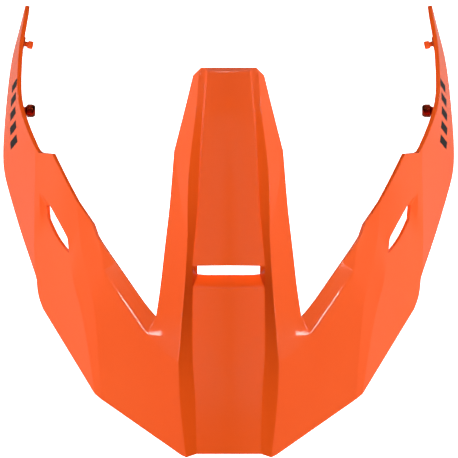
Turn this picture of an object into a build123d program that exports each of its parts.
from build123d import *
import os

# Peak (sun visor) of a motocross helmet, millimetres, +Z up, the front of the peak towards -Y.
# The origin is the middle of the line through the two lower ball studs, the line the peak turns about
# when it is set on a helmet.
os.makedirs("parts", exist_ok=True)

# ---- driving sizes -------------------------------------------------------------------------------
OVERALL_WIDTH = 262.0      # across the two side panels at their widest
OVERALL_LENGTH = 261.0     # nose tips to the ends of the arms
OVERALL_DROP = 101.0       # from the rail ridges down to the lowest edge of the side panels
WALL = 2.6                 # moulded wall

PIVOT_Y = 198.6            # lower stud line, back from the front edge on the nominal outline
PIVOT_DROP = 78.0          # lower stud line, below the rail ridges on the nominal outline
LATCH_Y = 237.4            # upper pegs, where their line meets the arms
LATCH_DROP = 78.0
LATCH_TURN = 12.0          # the pegs' line turns this much towards the nose, degrees

PAD_D = 10.6               # round pads on the arms' inner faces that carry the inserts
PAD_RISE = 2.6             # pad height above the inner face, on the stud line
LATCH_PAD_D = 8.0
LATCH_PAD_RISE = 1.6

INSERT_D = 5.2             # brass inserts moulded into the pads
INSERT_L = 3.4
GROOVE_T = 1.0             # ring groove the plastic keys into
GROOVE_DEPTH = 0.3
THREAD_D = 3.0             # shank of the studs and bore of the inserts
TIP_GAP = 0.3              # shank end to the bottom of the insert

WASHER_D = 7.0             # rubber washers between pad and shoulder
WASHER_T = 0.9

NECK_D = 4.4
HEAD_D = 7.6               # lower stud head: a ball turned with a short straight land
HEAD_LAND = 2.4
HEAD_REACH = 7.4           # inner face of the arm to the middle of the head
HEAD_FLAT_D = 4.2          # flat end of the head, with a hexagon socket
SOCKET_AF = 2.5
SOCKET_DEPTH = 2.4

PEG_NECK_D = 3.0
PEG_HEAD_AF = 4.6          # square head, across the flats
PEG_HEAD_T = 3.2
PEG_REACH = 6.6            # inner face of the arm to the outer end of the head
PEG_EDGE = 0.5

SX = OVERALL_WIDTH / 262.6
SY = OVERALL_LENGTH / 261.7
SZ = OVERALL_DROP / 101.5


def at(x, y, z):
    """A nominal point of the outline, scaled to the driving sizes and moved to the stud line."""
    return Vector(x * SX, (y - PIVOT_Y) * SY, (z + PIVOT_DROP) * SZ)


# ---- named points of the right half, (across, back from the nose, height) --------------------------
# centre panel: middle line C, edge P; rail: ridge R, outer edge O; rows run from the rear to the nose
N = {
    "C0": (0, 223.1, -10.0), "P0": (13.0, 223.1, -10.4), "R0": (16.0, 223.1, -11.2),
    "C1": (0, 220.8, -7.2), "P1": (12.4, 220.6, -8.0), "R1": (17.2, 218.5, -8.8), "O1": (20.6, 218.6, -12.2),
    "C2": (0, 202, -4.0), "P2": (13.8, 202, -5.2), "R2": (18.6, 202, -6.0), "O2": (24.6, 202, -12.0),
    "C3": (0, 188, -2.7), "P3": (14.9, 188, -3.9), "R3": (20.1, 188, -4.3), "O3": (28.2, 188, -12.0),
    "C4": (0, 175, -1.8), "P4": (15.7, 175, -3.0), "R4": (21.9, 175, -3.0), "O4": (31.5, 175, -11.8),
    "C5": (0, 160, -1.2), "P5": (16.4, 160, -2.4), "R5": (23.4, 160, -1.8), "O5": (32.7, 160, -9.8),
    "C6": (0, 141, -1.0), "P6": (17.0, 141, -2.2), "R6": (23.8, 141, -0.6), "O6": (34.2, 141, -8.0),
    "C7": (0, 127, -1.1), "P7": (18.6, 127, -2.3), "R7": (23.6, 127, 0.0), "O7": (36.0, 127, -7.4),
    "C8": (0, 108.9, -1.4), "L8": (18.0, 108.6, -2.4), "P8": (20.8, 108.4, -2.6), "R8": (24.6, 108.4, 0.2),
    "O8": (38.1, 108.4, -6.9), "K5": (29.6, 160, -8.0), "K6": (27.0, 141, -3.4),
    "Q0": (0, 103.5, -11.0), "Q1": (18.0, 103.5, -11.0),
    "C9": (0, 95.2, -5.0), "P9": (20.8, 96, -5.9), "R9": (25.3, 96, 0.0), "O9": (39.4, 96, -6.6),
    "C10": (0, 79, -5.1), "P10": (21.0, 79, -6.0), "R10": (26.9, 79, -0.6), "O10": (42.0, 79.2, -6.4),
    "C11": (0, 66, -5.2), "P11": (21.0, 66, -6.0), "R11": (27.8, 66, -1.2),
    "C12": (0, 53, -5.5), "P12": (21.0, 53, -6.2), "R12": (29.0, 53, -2.0),
    "C13": (0, 36.5, -6.3), "P13": (19.4, 36.5, -7.0), "R13": (28.6, 36.5, -4.0),
    "C14": (0, 20, -7.6), "P14": (19.0, 20, -8.2), "R14": (27.3, 20, -6.2),
    "C15": (0, 0, -9.8), "P15": (18.6, 0, -10.2), "R15": (24.5, -2.0, -9.0), "F3": (27.5, -0.6, -9.4),
    # wing: inner rim ridge G, inner edge T, creases B and A, outer front edge F
    "G0": (33.9, 52.1, -3.9), "G1": (39.4, 59.8, -4.8), "G2": (47.0, 69.2, -6.1), "G3": (56.4, 82, -7.7),
    "G4": (64.9, 93.9, -9.2), "G5": (72.4, 105.6, -11.6), "G6": (73.6, 111, -13.4), "G7": (75.6, 122.3, -15.6),
    "T21": (47.9, 86.2, -6.7), "T20": (56.4, 98.5, -8.2), "T19": (64.9, 110.4, -10.0),
    "T18": (74.3, 122.9, -14.4), "T17": (76.5, 126.5, -16.0), "T15": (78.5, 132.9, -19.0),
    "T14": (87.5, 145.7, -25.2), "T13": (94.9, 158.9, -31), "T11": (102.1, 173.4, -37.9),
    "T10": (109.9, 174.1, -45.6),
    "B1": (86.6, 130.5, -24.0), "B2": (85.4, 117.7, -21.6), "B3": (78.5, 92.2, -15.4), "B4": (76.2, 70.8, -17.0),
    "F4": (73.4, 31.3, -20.4), "F5": (77.4, 34.5, -22.2),
    "A0": (92.3, 116, -28.4), "A1": (90.1, 99.2, -23.8), "A2": (85.4, 84.7, -21.8), "A3": (80.9, 60, -21.2),
    "F6": (107.5, 83.6, -43.6), "F7": (110.6, 91.3, -46.8), "F8": (111.3, 100.7, -48.4),
    # side vent and its sunk triangle
    "V1": (103.6, 143.7, -39.6), "V2": (94.8, 127.8, -30.4), "V3": (93.2, 124.5, -28.9),
    "V5": (99.4, 124, -35.9), "V6": (104.6, 136, -43.2), "V7": (105.4, 143.5, -44.7),
    "D1": (109.6, 132.5, -46.8), "D2": (109.6, 151.7, -45.8),
    # crease S between wing and side panel, lower edge E, top edge of the arm H
    "S0": (112.2, 104, -49.6), "S1": (112.6, 118, -49.6), "S2": (112.6, 132.5, -49.5), "S3": (112.5, 151.7, -49.0),
    "S4": (111.8, 164, -48.4), "S5": (112.2, 177.2, -48),
    "E1": (116.8, 117, -62.0), "E2": (121.5, 130.6, -75.0), "E3": (127.0, 148.7, -90.0), "E4": (130.4, 160.6, -98.6),
    "E5": (131.3, 168.5, -101.5), "E6": (131.3, 177, -100.6), "E7": (130.7, 187.9, -98),
    "E8": (129.2, 204.9, -93), "E9": (127.5, 220.2, -89), "E10": (125.3, 232.9, -86),
    "E11": (122.4, 243.1, -83.4), "E12": (119.4, 255, -79.6), "E13": (118, 259.9, -77.2),
    "H7": (116.9, 187, -53.6), "H8": (122.3, 202.6, -61.2), "H9": (122.9, 215.1, -65.4), "H10": (122, 233.7, -68.8),
    "H11": (120.7, 243.1, -71), "H12": (118.5, 254.6, -74.1),
}

# ---- facets of the right half, corners clockwise seen from outside -----------------------------
FACETS = [
    "C1 C0 P0 P1", "P1 P0 R0 R1", "R1 R0 O1",
    "C2 C1 P1 P2", "C3 C2 P2 P3", "C4 C3 P3 P4", "C5 C4 P4 P5", "C6 C5 P5 P6", "C7 C6 P6 P7",
    "C8 C7 P7 L8", "L8 P7 P8",
    "P2 P1 R1 R2", "P3 P2 R2 R3", "P4 P3 R3 R4", "P5 P4 R4 R5", "P6 P5 R5 R6", "P7 P6 R6 R7", "P8 P7 R7 R8",
    "R2 R1 O1 O2", "R3 R2 O2 O3", "R4 R3 O3 O4", "R5 R4 O4 K5", "K5 O4 O5", "R6 R5 K5 K6", "K6 K5 O5 O6",
    "R7 R6 K6", "R7 K6 O6 O7", "R8 R7 O7 O8", "R9 R8 O8 O9", "R10 R9 O9 O10",
    "P9 P8 R8 R9", "Q1 P8 P9", "Q1 L8 P8", "C9 Q0 Q1 P9",
    "C10 C9 P9 P10", "C11 C10 P10 P11", "C12 C11 P11 P12", "C13 C12 P12 P13", "C14 C13 P13 P14",
    "C15 C14 P14 P15",
    "P10 P9 R9 R10", "P11 P10 R10 R11", "P12 P11 R11 R12", "P13 P12 R12 R13", "P14 P13 R13 R14",
    "P15 P14 R14 R15",
    # wing inner rim
    "R11 R10 O10 G2", "R12 R11 G2 G1", "R12 G1 G0",
    "G2 O10 T21 G3", "G3 T21 T20 G4", "G4 T20 T19 G5", "G5 T19 T18 G6", "G6 T18 T17 G7",
    # wing front
    "F3 R15 R14", "R14 R13 F4 F3", "R13 R12 G0 G1", "R13 G1 B4 F4", "G1 G2 G3 B4", "G3 G4 B3 B4", "G4 G5 B3",
    "G5 G6 B2 B3", "G6 G7 B1 B2", "G7 T17 T15 B1", "T15 T14 B1",
    # between the creases
    "F4 B4 A3 F5", "B4 B3 A2 A3", "B3 B2 A1 A2", "B2 A0 A1", "B1 V2 V3 A0", "B2 B1 A0",
    # outside the vent
    "A3 A2 F6 F5", "A2 A1 F7 F6", "A1 A0 S0 F8", "A1 F8 F7", "A0 V5 S1 S0", "V5 V6 D1 S1", "V6 V7 D1",
    "D1 V7 D2", "V7 V1 D2", "S1 D1 S2", "D1 D2 S3 S2",
    # wing above the vent, running into the arm
    "B1 T14 V2", "T14 T13 V1 V2", "T13 T11 S4 D2", "T13 D2 V1", "D2 S4 S3", "T11 T10 S5 S4",
    # side panel and arm
    "S0 S1 E1", "S1 S2 E2 E1", "S2 S3 E3 E2", "S3 S4 E4 E3", "S4 S5 E5 E4", "S5 H7 E6 E5", "H7 H8 E7 E6",
    "H8 H9 E8 E7", "H9 H10 E10 E9", "H9 E9 E8", "H10 H11 E11 E10", "H11 H12 E12 E11", "H12 E13 E12",
]

def newell(pts):
    """Unit normal of a corner loop, flat or slightly warped."""
    n = Vector(0, 0, 0)
    for a, b in zip(pts, pts[1:] + pts[:1]):
        n += Vector((a.Y - b.Y) * (a.Z + b.Z), (a.Z - b.Z) * (a.X + b.X), (a.X - b.X) * (a.Y + b.Y))
    return n.normalized()


def build_net():
    """Outer and inner corner positions of both halves, and the facet loops over them."""
    outer = {}
    loops = []
    for name, p in N.items():
        outer[name] = at(*p)
        if p[0] != 0:
            outer[name + "m"] = at(-p[0], p[1], p[2])
    for f in FACETS:
        names = f.split()
        loops.append(names[::-1])
        loops.append([n if N[n][0] == 0 else n + "m" for n in names])
    normals = {}
    for loop in loops:
        n = newell([outer[k] for k in loop])
        for k in loop:
            normals.setdefault(k, []).append(n)
    inner = {}
    for k, ns in normals.items():
        mean = Vector(0, 0, 0)
        for n in ns:
            mean += n
        mean = mean.normalized()
        reach = sum(mean.dot(n) for n in ns) / len(ns)
        inner[k] = outer[k] - mean * (WALL / max(reach, 0.6))
    return outer, inner, loops


def patch(pts):
    """A flat triangle, or a ruled patch through four corners."""
    if len(pts) == 3:
        return Face(Wire.make_polygon(pts, close=True))
    return Face.make_surface_from_curves(Edge.make_line(pts[0], pts[1]), Edge.make_line(pts[3], pts[2]))


def shell_solid():
    outer, inner, loops = build_net()
    used = {}
    faces = []
    for loop in loops:
        faces.append(patch([outer[k] for k in loop]))
        faces.append(patch([inner[k] for k in loop]))
        for a, b in zip(loop, loop[1:] + loop[:1]):
            used[(a, b)] = used.get((a, b), 0) + 1
    for (a, b), count in used.items():
        if (b, a) not in used:
            faces.append(patch([outer[a], outer[b], inner[b], inner[a]]))
    return Solid(Shell(faces))


def backing(facets):
    """Block from the middle of the arm's wall, over these facets, to well inside the arm."""
    outer, inner, loops = build_net()
    middle = {}
    near = {}
    for f in facets:
        for k in f.split():
            middle[k] = (outer[k] + inner[k]) / 2
            near[k] = middle[k] - Vector(25, 0, 0)
    used = set()
    faces = []
    for f in facets:
        loop = f.split()
        faces.append(patch([middle[k] for k in loop]))
        faces.append(patch([near[k] for k in loop]))
        used |= set(zip(loop, loop[1:] + loop[:1]))
    for a, b in used:
        if (b, a) not in used:
            faces.append(patch([middle[a], middle[b], near[b], near[a]]))
    return Solid(Shell(faces))


def wall_on(body, start, direction):
    """Where a line leaves the inside of the helmet space and meets the arm's inner face."""
    hits = Edge.make_line(start, start + direction * 60) & body
    points = []
    for e in hits.edges():
        points += [e @ 0, e @ 1]
    return min(points, key=lambda p: (p - start).length)


def turned(profile, plane):
    """Solid of revolution: profile lists (along the stud, radius); along is +Z of the plane."""
    line = Wire.make_polygon([Vector(r, 0, t) for t, r in profile], close=True)
    solid = revolve(Face(line), Axis.Z, 360)
    return plane * solid


def pad_on(body, y, drop, turn, facets, rise, diameter):
    """Placing plane and round pad on the right arm's inner face."""
    inward = Vector(-1, 0, 0).rotate(Axis.Z, turn)
    foot = wall_on(body, at(118, y, -drop) + inward * 25, inward * -1)
    plane = Plane(origin=foot + inward * rise, z_dir=inward, x_dir=Vector(0, 0, 1))
    pad = plane * Pos(0, 0, -12) * extrude(Circle(diameter / 2), 12)
    return plane, (pad & backing(facets)).solids()[0]


def insert_hole(plane):
    return turned([(0, 0), (0, INSERT_D / 2), (-INSERT_L, INSERT_D / 2), (-INSERT_L, 0)], plane)


def insert(plane):
    """Insert with one ring groove that the plastic keys into."""
    r, half, bore = INSERT_D / 2, INSERT_L / 2, THREAD_D / 2
    return turned([(0, bore), (0, r), (-half + GROOVE_T / 2, r), (-half + GROOVE_T / 2, r - GROOVE_DEPTH),
                   (-half - GROOVE_T / 2, r - GROOVE_DEPTH), (-half - GROOVE_T / 2, r), (-INSERT_L, r),
                   (-INSERT_L, bore)], plane)


def washer(plane):
    r, bore = WASHER_D / 2, THREAD_D / 2
    return turned([(0, bore), (0, r - 0.2), (0.2, r), (WASHER_T - 0.2, r), (WASHER_T, r - 0.2), (WASHER_T, bore)],
                  plane)


def lower_stud(plane):
    """Ball stud: shank, neck, round head with a straight land, hexagon socket in its end."""
    centre = HEAD_REACH - PAD_RISE
    land = HEAD_LAND / 2
    r = HEAD_D / 2
    curve = 2.3
    back = centre - land - curve
    front = centre + land + curve
    shank = turned([(-INSERT_L + TIP_GAP, 0), (-INSERT_L + TIP_GAP, THREAD_D / 2), (WASHER_T, THREAD_D / 2),
                    (WASHER_T, NECK_D / 2), (centre, NECK_D / 2), (centre, 0)], plane)
    side = Polyline((NECK_D / 2, back), (0, back), (0, front), (HEAD_FLAT_D / 2, front))
    outer = Bezier((HEAD_FLAT_D / 2, front), (r * 0.86, front), (r, centre + land + 1.2), (r, centre + land))
    flat = Line((r, centre + land), (r, centre - land))
    inner = Bezier((r, centre - land), (r, centre - land - 1.2), (r * 0.86, back), (NECK_D / 2, back))
    face = make_face([*side.edges(), *outer.edges(), *flat.edges(), *inner.edges()])
    head = plane * revolve(Plane.XZ * face, Axis.Z, 360)
    socket = Pos(0, 0, front - SOCKET_DEPTH) * extrude(RegularPolygon(SOCKET_AF / 2, 6, major_radius=False),
                                                       SOCKET_DEPTH + 1)
    return shank + head - plane * socket


def moulded_peg(plane):
    """Neck and square head with broken edges, moulded in one with the arm."""
    end = PEG_REACH - LATCH_PAD_RISE
    neck = turned([(-1, 0), (-1, PEG_NECK_D / 2), (end - 1, PEG_NECK_D / 2), (end - 1, 0)], plane)
    head = Pos(0, 0, end - PEG_HEAD_T / 2) * Box(PEG_HEAD_AF, PEG_HEAD_AF, PEG_HEAD_T)
    head = chamfer(head.edges(), PEG_EDGE)
    return neck + plane * head


shell = shell_solid()
low, low_pad = pad_on(shell, PIVOT_Y, PIVOT_DROP, 0,
                      ["S5 H7 E6 E5", "H7 H8 E7 E6", "H8 H9 E8 E7", "H9 E9 E8"], PAD_RISE, PAD_D)
top, top_pad = pad_on(shell, LATCH_Y, LATCH_DROP, LATCH_TURN,
                      ["H9 H10 E10 E9", "H10 H11 E11 E10", "H11 H12 E12 E11"], LATCH_PAD_RISE, LATCH_PAD_D)
shell = shell + low_pad - insert_hole(low)
shell = shell + top_pad + moulded_peg(top)
half = Pos(0, -400, -400) * Box(800, 1600, 1600, align=(Align.MIN, Align.CENTER, Align.CENTER))
right = (shell & half).solids()[0]
shell = right + mirror(right, Plane.YZ)

pieces = {"lower_insert": insert(low), "lower_washer": washer(low), "lower_stud": lower_stud(low)}
export_step(shell, "parts/peak_shell.step")
for name, piece in pieces.items():
    export_step(piece, f"parts/{name}_right.step")
    export_step(mirror(piece, Plane.YZ), f"parts/{name}_left.step")
print("shell", round(shell.volume), shell.is_valid, len(shell.solids()))
print("stud line", low.origin, low.z_dir)
print("peg line", top.origin, top.z_dir)
